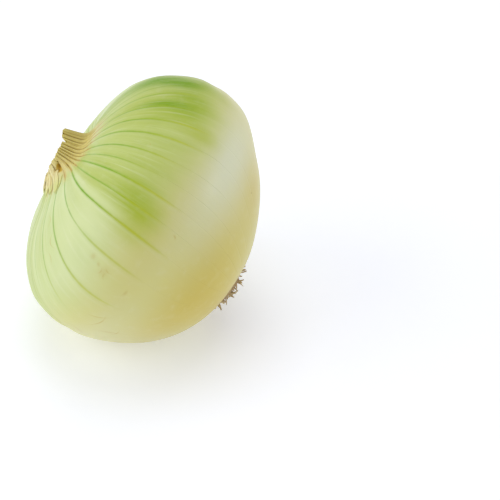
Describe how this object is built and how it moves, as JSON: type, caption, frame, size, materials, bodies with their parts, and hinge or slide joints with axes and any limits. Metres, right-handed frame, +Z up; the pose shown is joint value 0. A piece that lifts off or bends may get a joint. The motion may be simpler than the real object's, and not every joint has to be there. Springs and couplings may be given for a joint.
{
  "type": "onion",
  "caption": "Whole squat bulb onion with pale green veined flesh skin, lying on its flank on a small flat spot, with a short torn dry neck and trimmed root stubs.",
  "frame": {"origin": "on the ground plane, at the middle of the onion's bounding box seen from above", "axes": "+Z up as the onion lies; -X is the side to which the neck points, 36 degrees above the ground; +Y is across, the long way of the bulb"},
  "size_m": [0.08, 0.096, 0.0862],
  "materials": {
    "flesh": "waxy, pale green to cream with green veins",
    "dry_neck": "dry, papery, straw with brown ridges",
    "roots": "dry, fibrous, brown"
  },
  "bodies": {
    "root": {"onion": "flesh"}
  },
  "joints": []
}
